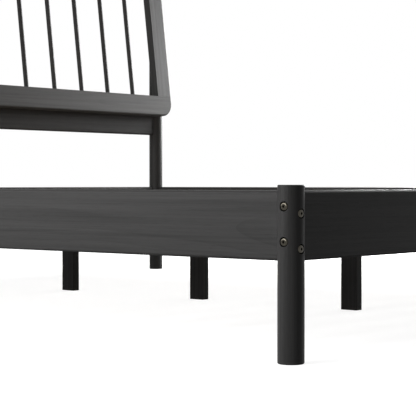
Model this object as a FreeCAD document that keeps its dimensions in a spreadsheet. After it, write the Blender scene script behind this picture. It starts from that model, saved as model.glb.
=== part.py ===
import FreeCAD, Part
import math
import os
import Sketcher

# Spindle bed for a king mattress: four round posts, bolted rails, a slatted deck on a centre beam
# with three support legs, and a reclined headboard frame filled with round spindles.
#
# The row frame: +X to the right for someone at the foot who looks to the head, +Y towards the head,
# +Z up. The origin is on the floor, in the middle of the bed's outer box. Sizes are in millimetres
# and degrees. "side" is -1 for left and 1 for right, "end" is -1 for foot and 1 for head.

LEFT, RIGHT = -1, 1
FOOT, HEAD = -1, 1
NEAR = 0.001

# Driving sizes: name, value, what it measures.
SIZES = [
    ("mattress_width", 1930, "king mattress, across the bed"),
    ("mattress_length", 2032, "king mattress, along the bed"),
    ("end_room", 38, "length between the posts beyond the mattress, for the leaning headboard"),
    ("post_diameter", 50.8, "round posts and head legs"),
    ("foot_post_height", 331.4, "floor to the top of a foot post"),
    ("head_leg_height", 900, "floor to the top of a head leg"),
    ("post_top_round", 2, "rounding of a post's top edge"),
    ("post_foot_round", 3, "rounding of a post's bottom edge"),
    ("rail_thickness", 25, "side, foot and head rails"),
    ("rail_height", 130.8, "side, foot and head rails"),
    ("rail_floor_gap", 190.5, "floor to the underside of the rails"),
    ("rail_outset", 5, "middle of a rail outside the line through the post centres"),
    ("rail_round", 6.35, "rounding of the rails' long edges"),
    ("rail_seat", 15, "post centre to the end face of a rail"),
    ("housing_gap", 0.3, "room round a rail's end in its housing in the post"),
    ("cross_rail_thickness", 22, "upper rail between the head legs"),
    ("cross_rail_height", 101.6, "upper rail between the head legs"),
    ("cross_rail_floor_gap", 524, "floor to the underside of the upper rail"),
    ("cross_rail_outset", 3, "middle of the upper rail behind the head legs' centres"),
    ("bolt_diameter", 8, "shank of all bolts and studs"),
    ("bolt_length", 95, "rail bolt, under its head"),
    ("bolt_head_diameter", 17.5, "domed head"),
    ("bolt_head_height", 4.4, "domed head"),
    ("bolt_head_round", 3.9, "rounding that makes the dome"),
    ("head_rim", 0.4, "least straight rim under a domed head's rounding"),
    ("bolt_socket_width", 5, "hexagon socket, across flats"),
    ("bolt_socket_depth", 2.8, "hexagon socket"),
    ("bolt_seat", 20.5, "post centre to the seat under a bolt's head"),
    ("bolt_outset", 1, "bolts of side, foot and head rails outside the line through the post centres"),
    ("bolt_hole_gap", 0.3, "room round a bolt in its hole"),
    ("bolt_end_room", 3, "hole beyond the tip of a bolt, stud or screw"),
    ("counterbore_diameter", 19, "recess round a bolt's head"),
    ("rail_bolt_spacing", 65.5, "between the two bolts of one rail end"),
    ("rail_bolt_stagger", 13, "end rails' bolts above the side rails' bolts, so that they pass"),
    ("rail_bolt_drop", 3.5, "middle of all rail bolts under the middle of the rail"),
    ("cross_bolt_spacing", 50, "between the two bolts of one end of the upper rail"),
    ("nut_diameter", 10, "barrel nut"),
    ("nut_length", 16, "barrel nut"),
    ("nut_from_tip", 9.5, "barrel nut's middle from the tip of its bolt"),
    ("fit_gap", 0.15, "room round nuts, dowels, inserts and spindles in their holes"),
    ("thread_gap", 0.05, "room round a threaded shank in its nut, insert or pilot hole"),
    ("deck_depth", 50, "slat tops under the tops of the rails"),
    ("slat_count", 15, "number of slats"),
    ("slat_width", 89, "slat, along the bed"),
    ("slat_thickness", 19, "slat"),
    ("slat_round", 3, "rounding of a slat's long edges"),
    ("slat_end_gap", 3, "slat end to side rail"),
    ("slat_margin", 40, "outermost slats to the foot and head rails"),
    ("ledger_width", 30, "ledger, across the bed"),
    ("ledger_height", 30, "ledger"),
    ("ledger_round", 2, "rounding of a ledger's long edges"),
    ("ledger_end_gap", 3, "ledger end to post"),
    ("screw_diameter", 4.5, "wood screw"),
    ("screw_length", 45, "wood screw in slats and ledgers"),
    ("screw_head_diameter", 9, "wood screw's countersunk head"),
    ("screw_tip", 4, "point of a wood screw"),
    ("screw_hole_gap", 0.25, "room round a wood screw in the piece that it holds"),
    ("screw_socket_width", 3, "hexagon socket, across flats"),
    ("screw_socket_depth", 1.8, "hexagon socket"),
    ("hanger_screw_length", 18, "pan head screw in a beam hanger"),
    ("pan_head_height", 3, "pan head"),
    ("pan_head_round", 2.4, "rounding of the pan head"),
    ("beam_width", 38, "centre beam"),
    ("beam_height", 55, "centre beam"),
    ("beam_round", 2, "rounding of the beam's long edges"),
    ("beam_end_gap", 1, "beam end to the hanger's back plate"),
    ("hanger_plate", 2, "steel of a beam hanger"),
    ("hanger_gap", 0.3, "room beside the beam in its hanger"),
    ("hanger_depth", 35, "cradle of a beam hanger, along the beam"),
    ("hanger_wall", 35, "cradle walls of a beam hanger"),
    ("hanger_ear", 20, "back plate beside the cradle"),
    ("hanger_hole_low", 14, "lower screws of a hanger, above the beam's underside"),
    ("hanger_hole_high", 42, "upper screws of a hanger, above the beam's underside"),
    ("support_leg_thickness", 25, "support leg, across the bed"),
    ("support_leg_width", 50, "support leg, along the bed"),
    ("support_leg_round", 1.5, "rounding of a support leg's edges"),
    ("support_leg_spacing", 527.6, "between support legs"),
    ("stud_length", 60, "stud that holds a support leg to the beam"),
    ("stile_overhang", 33.6, "reclined frame's outer edge beyond the centre of a head leg"),
    ("headboard_height", 1219.2, "floor to the top of the reclined frame"),
    ("headboard_floor_gap", 598, "floor to the front lower edge of the reclined frame"),
    ("headboard_setback", 60.7, "front lower edge of the frame in front of the head legs' centres"),
    ("recline", 7.1, "lean of the frame, in degrees"),
    ("frame_width", 76.2, "face width of the frame's rails and stiles"),
    ("frame_thickness", 30.5, "frame's rails and stiles"),
    ("frame_corner", 52, "radius of the frame's four corners"),
    ("frame_round", 6.35, "rounding of the frame's outer edges"),
    ("frame_break", 0.8, "rounding of the frame's inner edges and of the stiles' ends"),
    ("spindle_count", 13, "number of spindles"),
    ("spindle_diameter", 16, "spindle"),
    ("spindle_seat", 15, "depth of a spindle's hole"),
    ("spindle_play", 0.8, "room over a spindle in its upper hole"),
    ("spindle_chamfer", 1, "end of a spindle"),
    ("dowel_diameter", 10, "dowel in a corner of the frame"),
    ("dowel_length", 60, "dowel in a corner of the frame"),
    ("dowel_spacing", 44, "between the two dowels of a corner"),
    ("turned_chamfer", 1, "end of a dowel, stud or bolt"),
    ("dowel_end_room", 0.5, "hole beyond the end of a dowel"),
    ("insert_diameter", 12, "threaded insert in a stile"),
    ("insert_length", 15, "threaded insert in a stile"),
    ("frame_bolt_length", 35, "bolt that holds a stile, under its head"),
    ("frame_bolt_grip", 16, "wood of the head leg under that bolt's head"),
    ("frame_bolt_low", 115, "lower frame bolt, up the slope from the frame's lower edge"),
    ("frame_bolt_high", 260, "upper frame bolt, up the slope from the frame's lower edge"),
]

# Places and lengths that follow from the driving sizes.
LAYOUT = [
    ("post_radius", "Sizes.post_diameter / 2"),
    ("post_x", "(Sizes.mattress_width + Sizes.post_diameter) / 2"),
    ("post_span", "Sizes.mattress_length + Sizes.post_diameter + Sizes.end_room"),
    ("frame_outer_width", "2 * (post_x + Sizes.stile_overhang)"),
    ("frame_length", "(Sizes.headboard_height - Sizes.headboard_floor_gap) / cos(Sizes.recline)"),
    ("stile_length", "frame_length - 2 * Sizes.frame_width"),
    ("stile_x", "(frame_outer_width - Sizes.frame_width) / 2"),
    ("top_reach", "(frame_length - Sizes.frame_round) * sin(Sizes.recline)"),
    ("back_reach", "(Sizes.frame_thickness - Sizes.frame_round) * cos(Sizes.recline)"),
    ("overhang", "top_reach + back_reach + Sizes.frame_round - Sizes.headboard_setback"),
    ("foot_y", "(post_radius - post_span - overhang) / 2"),
    ("head_y", "foot_y + post_span"),
    ("middle_y", "(foot_y + head_y) / 2"),
    ("rail_top", "Sizes.rail_floor_gap + Sizes.rail_height"),
    ("side_rail_x", "post_x + Sizes.rail_outset"),
    ("side_rail_length", "post_span - 2 * Sizes.rail_seat"),
    ("end_rail_length", "2 * (post_x - Sizes.rail_seat)"),
    ("inner_x", "side_rail_x - Sizes.rail_thickness / 2"),
    ("inner_half_y", "post_span / 2 + Sizes.rail_outset - Sizes.rail_thickness / 2"),
    ("bolt_middle", "Sizes.rail_height / 2 - Sizes.rail_bolt_drop"),
    ("end_bolt_middle", "bolt_middle + Sizes.rail_bolt_stagger / 2"),
    ("side_bolt_middle", "bolt_middle - Sizes.rail_bolt_stagger / 2"),
    ("bolt_inset", "Sizes.rail_outset - Sizes.bolt_outset"),
    ("bolt_reach", "Sizes.bolt_length - Sizes.bolt_seat"),
    ("nut_reach", "bolt_reach - Sizes.nut_from_tip"),
    ("bolt_hole", "Sizes.bolt_diameter + 2 * Sizes.bolt_hole_gap"),
    ("screw_hole", "Sizes.screw_diameter + 2 * Sizes.screw_hole_gap"),
    ("pilot_hole", "Sizes.screw_diameter + 2 * Sizes.thread_gap"),
    ("thread_hole", "Sizes.bolt_diameter + 2 * Sizes.thread_gap"),
    ("deck_z", "rail_top - Sizes.deck_depth"),
    ("ledger_top", "deck_z - Sizes.slat_thickness"),
    ("ledger_x", "inner_x - Sizes.ledger_width / 2"),
    ("ledger_length", "post_span - 2 * (post_radius + Sizes.ledger_end_gap)"),
    ("slat_length", "2 * (inner_x - Sizes.slat_end_gap)"),
    ("slat_room", "2 * (inner_half_y - Sizes.slat_margin) - Sizes.slat_width"),
    ("slat_pitch", "slat_room / (Sizes.slat_count - 1)"),
    ("beam_bottom", "ledger_top - Sizes.beam_height"),
    ("beam_length", "2 * (inner_half_y - Sizes.hanger_plate - Sizes.beam_end_gap)"),
    ("cradle_half", "Sizes.beam_width / 2 + Sizes.hanger_gap"),
    ("hanger_hole_x", "cradle_half + Sizes.hanger_plate + Sizes.hanger_ear / 2"),
    ("hanger_half", "cradle_half + Sizes.hanger_plate + Sizes.hanger_ear"),
    ("frame_y", "head_y - Sizes.headboard_setback"),
    ("frame_inner_width", "frame_outer_width - 2 * Sizes.frame_width"),
    ("spindle_total", "Sizes.spindle_count * Sizes.spindle_diameter"),
    ("spindle_opening", "(frame_inner_width - spindle_total) / (Sizes.spindle_count + 1)"),
    ("spindle_pitch", "spindle_opening + Sizes.spindle_diameter"),
    ("spindle_length", "stile_length + 2 * Sizes.spindle_seat - Sizes.spindle_play"),
    ("frame_bolt_seat", "Sizes.frame_thickness + Sizes.frame_bolt_grip"),
    ("frame_bolt_depth", "Sizes.frame_bolt_length - Sizes.frame_bolt_grip + Sizes.bolt_end_room"),
]

doc = FreeCAD.newDocument("spindle_bed")
sizes = doc.addObject("Spreadsheet::Sheet", "Sizes")
layout = doc.addObject("Spreadsheet::Sheet", "Layout")
sub_parts = []


def fill_sheets():
    """Writes the driving sizes as plain numbers, and the layout as formulas over them."""
    for row, (name, size, meaning) in enumerate(SIZES, start=1):
        sizes.set(f"A{row}", name)
        sizes.set(f"B{row}", str(size))
        sizes.set(f"C{row}", meaning)
        sizes.setAlias(f"B{row}", name)
    for row, (name, formula) in enumerate(LAYOUT, start=1):
        layout.set(f"A{row}", name)
        layout.setAlias(f"B{row}", name)
        layout.set(f"B{row}", "=" + formula)
    doc.recompute()


def number(expression):
    """Present value of an expression over the two sheets."""
    return float(layout.evalExpression(expression))


def count(expression):
    return int(round(number(expression)))


def end_line(end):
    """Line through the centres of the foot posts or of the head legs."""
    return "Layout.foot_y" if end == FOOT else "Layout.head_y"


# ---------------------------------------------------------------- sketches


def new_body(label, is_sub_part=True):
    body = doc.addObject("PartDesign::Body", label)
    body.Label = label
    if is_sub_part:
        sub_parts.append(body)
    return body


def sketch_on(body, name, role, distance="0"):
    """Empty sketch, parallel to one of the body's own origin planes and a distance along its normal.

    Sketch axes and normal: XY_Plane has X, Y and +Z; XZ_Plane has X, Z and -Y; YZ_Plane has Y, Z and +X.
    """
    sketch = body.newObject("Sketcher::SketchObject", f"{body.Name}_{name}")
    support = next(feature for feature in body.Origin.OriginFeatures if feature.Role == role)
    sketch.AttachmentSupport = (support, "")
    sketch.MapMode = "FlatFace"
    sketch.setExpression("AttachmentOffset.Base.z", distance)
    return sketch


def bind_constraint(sketch, kind, elements, name, expression):
    """Adds a dimension to a sketch and ties it to an expression."""
    index = sketch.addConstraint(Sketcher.Constraint(kind, *elements, number(expression)))
    sketch.renameConstraint(index, name)
    sketch.setExpression(f"Constraints.{name}", expression)


def bind_point(sketch, geometry, point, x, y):
    bind_constraint(sketch, "DistanceX", (-1, 1, geometry, point), f"x{geometry}", x)
    bind_constraint(sketch, "DistanceY", (-1, 1, geometry, point), f"y{geometry}", y)


def add_outline(sketch, points):
    """Closed outline of straight lines through points, each a pair of expressions."""
    places = [FreeCAD.Vector(number(x), number(y), 0) for x, y in points]
    first = sketch.GeometryCount
    for start, stop in zip(places, places[1:] + places[:1]):
        sketch.addGeometry(Part.LineSegment(start, stop))
    for index, (x, y) in enumerate(points):
        before = first + (index - 1) % len(points)
        sketch.addConstraint(Sketcher.Constraint("Coincident", before, 2, first + index, 1))
        bind_point(sketch, first + index, 1, x, y)


def add_circle(sketch, x, y, diameter):
    middle = FreeCAD.Vector(number(x), number(y), 0)
    circle = sketch.addGeometry(Part.Circle(middle, FreeCAD.Vector(0, 0, 1), number(diameter) / 2))
    bind_point(sketch, circle, 3, x, y)
    bind_constraint(sketch, "Diameter", (circle,), f"diameter{circle}", diameter)


def add_rounded_rectangle(sketch, x, y, width, height, radius):
    """Rectangle round the middle (x, y) with four equal corner arcs; every size is an expression."""
    turn = math.pi / 2
    corners = [(1, 1), (-1, 1), (-1, -1), (1, -1)]
    centres = []
    for across, up in corners:
        centre_x = f"{x} + {across} * ({width} / 2 - {radius})"
        centre_y = f"{y} + {up} * ({height} / 2 - {radius})"
        centres.append((centre_x, centre_y))
    size = number(radius)
    normal = FreeCAD.Vector(0, 0, 1)
    for quarter, (centre_x, centre_y) in enumerate(centres):
        middle = FreeCAD.Vector(number(centre_x), number(centre_y), 0)
        circle = Part.Circle(middle, normal, size)
        sketch.addGeometry(Part.ArcOfCircle(circle, quarter * turn, (quarter + 1) * turn))
    for quarter in range(4):
        start = sketch.getPoint(quarter, 2)
        stop = sketch.getPoint((quarter + 1) % 4, 1)
        sketch.addGeometry(Part.LineSegment(start, stop))
    for quarter in range(4):
        sketch.addConstraint(Sketcher.Constraint("Tangent", quarter, 2, 4 + quarter, 1))
        sketch.addConstraint(Sketcher.Constraint("Tangent", 4 + quarter, 2, (quarter + 1) % 4, 1))
        bind_point(sketch, quarter, 3, *centres[quarter])
        bind_constraint(sketch, "Radius", (quarter,), f"radius{quarter}", radius)


def add_hexagon(sketch, width):
    """Regular hexagon round the sketch's origin, by its width across flats."""
    corners = range(0, 360, 60)
    add_outline(sketch, [(f"{width} / sqrt(3) * cos({angle})", f"{width} / sqrt(3) * sin({angle})")
                         for angle in corners])


# ---------------------------------------------------------------- features


def pad(body, name, profile, length, symmetric=False, forward=True):
    """Extrudes a sketch along its normal, or both ways, or against it when forward is False."""
    feature = body.newObject("PartDesign::Pad", f"{body.Name}_{name}")
    feature.Profile = profile
    feature.setExpression("Length", length)
    feature.SideType = "Symmetric" if symmetric else "One side"
    feature.Reversed = not forward
    doc.recompute()
    return feature


def pocket(body, name, profile, length, symmetric=False, forward=False):
    """Cuts a sketch's shape out against its normal, or along it when forward is True."""
    before = body.Tip.Shape.Volume
    feature = body.newObject("PartDesign::Pocket", f"{body.Name}_{name}")
    feature.Profile = profile
    feature.setExpression("Length", length)
    feature.SideType = "Symmetric" if symmetric else "One side"
    feature.Reversed = forward
    doc.recompute()
    if feature.Shape.Volume > before - NEAR:
        raise RuntimeError(f"{feature.Name} cuts nothing")
    return feature


def round_edges(body, name, radius, wanted):
    """Rounds the edges of the body so far that pass the test wanted."""
    base = body.Tip
    feature = body.newObject("PartDesign::Fillet", f"{body.Name}_{name}")
    feature.Base = (base, edge_names(base.Shape, wanted))
    feature.setExpression("Radius", radius)
    doc.recompute()
    return feature


def edge_names(shape, wanted):
    return [f"Edge{index}" for index, edge in enumerate(shape.Edges, start=1) if wanted(edge)]


def mirror(body, name, features, role):
    """Repeats features on the other side of one of the body's origin planes."""
    feature = body.newObject("PartDesign::Mirrored", f"{body.Name}_{name}")
    plane = next(origin for origin in body.Origin.OriginFeatures if origin.Role == role)
    feature.Originals = features
    feature.MirrorPlane = (plane, [""])
    body.Tip = feature
    doc.recompute()
    return feature


def countersunk_holes(body, name, profile, forward=False):
    """Screw holes through the body at the sketch's circles, with a 90 degree countersink there."""
    before = body.Tip.Shape.Volume
    feature = body.newObject("PartDesign::Hole", f"{body.Name}_{name}")
    feature.Profile = profile
    doc.recompute()
    feature.Threaded = False
    feature.setExpression("Diameter", "Layout.screw_hole")
    feature.HoleCutType = "Countersink"
    feature.HoleCutCustomValues = True
    feature.setExpression("HoleCutDiameter", "Sizes.screw_head_diameter")
    feature.HoleCutCountersinkAngle = 90
    feature.DepthType = "ThroughAll"
    feature.Reversed = forward
    doc.recompute()
    if feature.Shape.Volume > before - NEAR:
        raise RuntimeError(f"{feature.Name} cuts nothing")
    return feature


def turn_profile(body, points):
    """Solid turned about the body's Y axis from points, each a pair (radius, y) of expressions."""
    profile = sketch_on(body, "profile", "XY_Plane")
    add_outline(profile, points)
    feature = body.newObject("PartDesign::Revolution", f"{body.Name}_turned")
    feature.Profile = profile
    feature.ReferenceAxis = (profile, ["V_Axis"])
    feature.Angle = 360
    doc.recompute()
    return feature


def place(item, x="0", y="0", z="0", axis=(0, 0, 1), angle="0"):
    """Ties an object's place to expressions, after a turn about one axis through its own origin."""
    item.Placement.Rotation = FreeCAD.Rotation(FreeCAD.Vector(*axis), number(angle))
    if "." in angle:
        item.setExpression("Placement.Rotation.Angle", angle)
    item.setExpression("Placement.Base.x", x)
    item.setExpression("Placement.Base.y", y)
    item.setExpression("Placement.Base.z", z)


def place_in_frame(item, x, across, up, angle="-Sizes.recline"):
    """Places an object by coordinates of the reclined frame: across its thickness and up its slope."""
    y = f"Layout.frame_y + ({up}) * sin(Sizes.recline) + ({across}) * cos(Sizes.recline)"
    z = (f"Sizes.headboard_floor_gap + ({up}) * cos(Sizes.recline)"
         f" - ({across}) * sin(Sizes.recline)")
    place(item, x, y, z, (1, 0, 0), angle)


def group(label, pattern, placings):
    """One sub-part made of separate copies of a piece; each placing is a function that places one."""
    copies = []
    for index, placing in enumerate(placings, start=1):
        copy = doc.addObject("App::Link", f"{label}_{index:02d}")
        copy.LinkedObject = pattern
        placing(copy)
        copies.append(copy)
    compound = doc.addObject("Part::Compound", label)
    compound.Label = label
    compound.Links = copies
    sub_parts.append(compound)
    return compound


# ---------------------------------------------------------------- posts


def bolt_heights(floor_gap, middle, spacing):
    return [f"{floor_gap} + {middle} - {spacing} / 2", f"{floor_gap} + {middle} + {spacing} / 2"]


def end_bolt_heights(floor_gap="Sizes.rail_floor_gap"):
    return bolt_heights(floor_gap, "Layout.end_bolt_middle", "Sizes.rail_bolt_spacing")


def side_bolt_heights(floor_gap="Sizes.rail_floor_gap"):
    return bolt_heights(floor_gap, "Layout.side_bolt_middle", "Sizes.rail_bolt_spacing")


def cross_bolt_heights(floor_gap="Sizes.cross_rail_floor_gap"):
    return bolt_heights(floor_gap, "Sizes.cross_rail_height / 2", "Sizes.cross_bolt_spacing")


def cut_rail_joint(body, name, role, sign, rail, rail_line, bolt_line, heights):
    """Housing for a rail's end, its bolt holes, and the recesses for the bolts' heads.

    sign is 1 where the rail leaves the post against the plane's normal, and -1 along it.
    rail is the thickness, height and floor gap of the rail, and rail_line and bolt_line are
    the places of its middle and of its bolts beside the post's centre.
    """
    thickness, height, floor_gap = rail
    housing = sketch_on(body, f"{name}_housing", role, f"{-sign} * Sizes.rail_seat")
    add_rounded_rectangle(
        housing, rail_line, f"({floor_gap} + {height} / 2)",
        f"({thickness} + 2 * Sizes.housing_gap)", f"({height} + 2 * Sizes.housing_gap)",
        "(Sizes.rail_round + Sizes.housing_gap)")
    pocket(body, f"{name}_housing_cut", housing, "Sizes.post_diameter", forward=sign < 0)
    seat = f"{sign} * Sizes.bolt_seat"
    holes = sketch_on(body, f"{name}_bolts", role, seat)
    recesses = sketch_on(body, f"{name}_heads", role, seat)
    for place_z in heights:
        add_circle(holes, bolt_line, place_z, "Layout.bolt_hole")
        add_circle(recesses, bolt_line, place_z, "Sizes.counterbore_diameter")
    pocket(body, f"{name}_bolts_cut", holes, "Sizes.post_diameter", forward=sign < 0)
    pocket(body, f"{name}_heads_cut", recesses, "Sizes.post_diameter", forward=sign > 0)


def post(label, side, end, height):
    """Round post with housings for the end rail and the side rail."""
    body = new_body(label)
    section = sketch_on(body, "section", "XY_Plane")
    add_circle(section, "0", "0", "Sizes.post_diameter")
    pad(body, "pad", section, height)
    round_edges(body, "foot_round", "Sizes.post_foot_round",
                lambda edge: edge.BoundBox.ZMax < NEAR)
    top = number(height)
    round_edges(body, "top_round", "Sizes.post_top_round",
                lambda edge: edge.BoundBox.ZMin > top - NEAR)
    rail = ("Sizes.rail_thickness", "Sizes.rail_height", "Sizes.rail_floor_gap")
    cut_rail_joint(body, "end", "YZ_Plane", side, rail, f"{end} * Sizes.rail_outset",
                   f"{end} * Sizes.bolt_outset", end_bolt_heights())
    cut_rail_joint(body, "side", "XZ_Plane", -end, rail, f"{side} * Sizes.rail_outset",
                   f"{side} * Sizes.bolt_outset", side_bolt_heights())
    place(body, f"{side} * Layout.post_x", end_line(end))
    return body


def head_leg(label, side):
    """Post that runs on up behind the headboard and is cut to the slope of the frame's back."""
    body = post(label, side, HEAD, "Sizes.head_leg_height")
    rail = ("Sizes.cross_rail_thickness", "Sizes.cross_rail_height", "Sizes.cross_rail_floor_gap")
    cut_rail_joint(body, "cross", "YZ_Plane", side, rail, "Sizes.cross_rail_outset",
                   "Sizes.cross_rail_outset", cross_bolt_heights())
    cut_frame_seat(body)
    cut_frame_bolt_holes(body)
    return body


def cut_frame_seat(body):
    """Flat on the front of a head leg, in the plane of the frame's back."""
    back = "Sizes.frame_thickness / cos(Sizes.recline) - Sizes.headboard_setback"
    front = "(-Sizes.post_diameter)"
    top = "(Sizes.head_leg_height + Sizes.post_diameter)"
    low = f"Sizes.headboard_floor_gap + ({front} - ({back})) / tan(Sizes.recline)"
    rear = f"{back} + ({top} - Sizes.headboard_floor_gap) * tan(Sizes.recline)"
    wedge = sketch_on(body, "frame_seat", "YZ_Plane")
    add_outline(wedge, [(front, low), (rear, top), (front, top)])
    pocket(body, "frame_seat_cut", wedge, "2 * Sizes.post_diameter", symmetric=True)


def cut_frame_bolt_holes(body):
    """Holes square to the frame's back, with deep recesses for the heads at the rear of the leg."""
    sketches = []
    for name, diameter in (("frame_bolts", "Layout.bolt_hole"),
                           ("frame_heads", "Sizes.counterbore_diameter")):
        sketch = sketch_on(body, name, "XZ_Plane")
        sketch.AttachmentOffset.Rotation = FreeCAD.Rotation(FreeCAD.Vector(1, 0, 0), 1)
        sketch.setExpression("AttachmentOffset.Rotation.Angle", "-Sizes.recline")
        sketch.setExpression("AttachmentOffset.Base.y",
                             "Sizes.headboard_floor_gap - Layout.frame_bolt_seat * sin(Sizes.recline)")
        sketch.setExpression("AttachmentOffset.Base.z",
                             "Sizes.headboard_setback - Layout.frame_bolt_seat * cos(Sizes.recline)")
        for up in ("Sizes.frame_bolt_low", "Sizes.frame_bolt_high"):
            add_circle(sketch, "0", up, diameter)
        sketches.append(sketch)
    holes, recesses = sketches
    pocket(body, "frame_bolts_cut", holes, "Sizes.post_diameter", forward=True)
    pocket(body, "frame_heads_cut", recesses, "2 * Sizes.post_diameter")


# ---------------------------------------------------------------- rails


def rail(label, length, thickness, height, heights, bolt_inset="0", pilots=(), pilot_depth="0"):
    """Rail along its own X, outer face at +Y, underside at Z = 0.

    heights are those of the two bolts at each end, which lie bolt_inset nearer to the inner face
    than the rail's middle. pilots are the places (x, z) of screws that come in through that face.
    """
    body = new_body(label)
    section = sketch_on(body, "section", "YZ_Plane")
    add_rounded_rectangle(section, "0", f"({height} / 2)", thickness, height, "Sizes.rail_round")
    pad(body, "pad", section, length, symmetric=True)
    bolts = sketch_on(body, "bolts", "YZ_Plane", f"{length} / 2")
    inner_face = f"{thickness} / 2"
    nuts = sketch_on(body, "nuts", "XZ_Plane", inner_face)
    for place_z in heights:
        add_circle(bolts, f"-{bolt_inset}", place_z, "Layout.bolt_hole")
        add_circle(nuts, f"{length} / 2 + Sizes.rail_seat - Layout.nut_reach", place_z,
                   "Sizes.nut_diameter + 2 * Sizes.fit_gap")
    bolt_cut = pocket(body, "bolts_cut", bolts,
                      "Layout.bolt_reach - Sizes.rail_seat + Sizes.bolt_end_room")
    nut_cut = pocket(body, "nuts_cut", nuts,
                     f"{thickness} / 2 - {bolt_inset} + Sizes.nut_length / 2 + Sizes.fit_gap")
    mirror(body, "other_end", [bolt_cut, nut_cut], "YZ_Plane")
    if pilots:
        screws = sketch_on(body, "pilots", "XZ_Plane", inner_face)
        for x, z in pilots:
            add_circle(screws, x, z, "Layout.pilot_hole")
        pocket(body, "pilots_cut", screws, pilot_depth)
    return body


def side_rail(label, side):
    """Side rail, with pilot holes for the ledger's screws."""
    pilots = [(y, "Layout.ledger_top - Sizes.ledger_height / 2 - Sizes.rail_floor_gap")
              for y in ledger_screw_places()]
    body = rail(label, "Layout.side_rail_length", "Sizes.rail_thickness", "Sizes.rail_height",
                side_bolt_heights("0"), "Layout.bolt_inset", pilots,
                "Sizes.screw_length - Sizes.ledger_width + Sizes.bolt_end_room")
    place(body, f"{side} * Layout.side_rail_x", "Layout.middle_y", "Sizes.rail_floor_gap",
          angle=f"{-90 * side}")
    return body


def end_rail(label, end):
    """Foot or head rail, with pilot holes for the screws of the beam's hanger."""
    pilots = [(f"{side} * Layout.hanger_hole_x", f"Layout.beam_bottom + {up} - Sizes.rail_floor_gap")
              for side in (LEFT, RIGHT) for up in ("Sizes.hanger_hole_low", "Sizes.hanger_hole_high")]
    body = rail(label, "Layout.end_rail_length", "Sizes.rail_thickness", "Sizes.rail_height",
                end_bolt_heights("0"), "Layout.bolt_inset", pilots,
                "Sizes.hanger_screw_length - Sizes.hanger_plate + Sizes.bolt_end_room")
    place(body, y=f"{end_line(end)} + {end} * Sizes.rail_outset", z="Sizes.rail_floor_gap",
          angle="180" if end == FOOT else "0")
    return body


def cross_rail(label):
    """Upper rail between the head legs, turned so that its nuts lie in its rear face."""
    body = rail(label, "Layout.end_rail_length", "Sizes.cross_rail_thickness",
                "Sizes.cross_rail_height", cross_bolt_heights("0"))
    place(body, y="Layout.head_y + Sizes.cross_rail_outset", z="Sizes.cross_rail_floor_gap",
          angle="180")
    return body


# ---------------------------------------------------------------- deck


def slat_places():
    """Places of the slats along the bed, from the middle between the posts."""
    slats = count("Sizes.slat_count")
    return [f"({index} - (Sizes.slat_count - 1) / 2) * Layout.slat_pitch" for index in range(slats)]


def ledger_screw_places():
    """Places of the ledger screws along the bed: one in each gap between two slats."""
    return [f"{place_y} + Layout.slat_pitch / 2" for place_y in slat_places()[:-1]]


def ledger(label, side):
    """Ledger on a side rail's inner face: screwed through sideways, and the slats screwed down on it."""
    body = new_body(label)
    section = sketch_on(body, "section", "XZ_Plane")
    add_rounded_rectangle(section, "0", "(Sizes.ledger_height / 2)", "Sizes.ledger_width",
                          "Sizes.ledger_height", "Sizes.ledger_round")
    pad(body, "pad", section, "Layout.ledger_length", symmetric=True)
    pilots = sketch_on(body, "pilots", "XY_Plane", "Sizes.ledger_height")
    for place_y in slat_places():
        add_circle(pilots, "0", place_y, "Layout.pilot_hole")
    pocket(body, "pilots_cut", pilots,
           "min(Sizes.screw_length - Sizes.slat_thickness + Sizes.bolt_end_room; Sizes.ledger_height)")
    screws = sketch_on(body, "screws", "YZ_Plane", f"{-side} * Sizes.ledger_width / 2")
    for place_y in ledger_screw_places():
        add_circle(screws, place_y, "Sizes.ledger_height / 2", "Layout.screw_hole")
    countersunk_holes(body, "screw_holes", screws, forward=side == RIGHT)
    place(body, f"{side} * Layout.ledger_x", "Layout.middle_y",
          "Layout.ledger_top - Sizes.ledger_height")
    return body


def slat(label, place_y):
    body = new_body(label)
    section = sketch_on(body, "section", "YZ_Plane")
    add_rounded_rectangle(section, "0", "(Sizes.slat_thickness / 2)", "Sizes.slat_width",
                          "Sizes.slat_thickness", "Sizes.slat_round")
    pad(body, "pad", section, "Layout.slat_length", symmetric=True)
    screws = sketch_on(body, "screws", "XY_Plane", "Sizes.slat_thickness")
    for side in (LEFT, RIGHT):
        add_circle(screws, f"{side} * Layout.ledger_x", "0", "Layout.screw_hole")
    countersunk_holes(body, "screw_holes", screws)
    place(body, y=f"Layout.middle_y + {place_y}", z="Layout.ledger_top")
    return body


def support_leg_places():
    return [("foot", "-Sizes.support_leg_spacing"), ("middle", "0"),
            ("head", "Sizes.support_leg_spacing")]


def centre_beam(label):
    """Beam under the middle of the slats, with holes in its underside for the legs' studs."""
    body = new_body(label)
    section = sketch_on(body, "section", "XZ_Plane")
    add_rounded_rectangle(section, "0", "(Sizes.beam_height / 2)", "Sizes.beam_width",
                          "Sizes.beam_height", "Sizes.beam_round")
    pad(body, "pad", section, "Layout.beam_length", symmetric=True)
    studs = sketch_on(body, "studs", "XY_Plane")
    for _, place_y in support_leg_places():
        add_circle(studs, "0", place_y, "Layout.thread_hole")
    pocket(body, "studs_cut", studs, "Sizes.stud_length / 2 + Sizes.bolt_end_room", forward=True)
    place(body, y="Layout.middle_y", z="Layout.beam_bottom")
    return body


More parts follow.
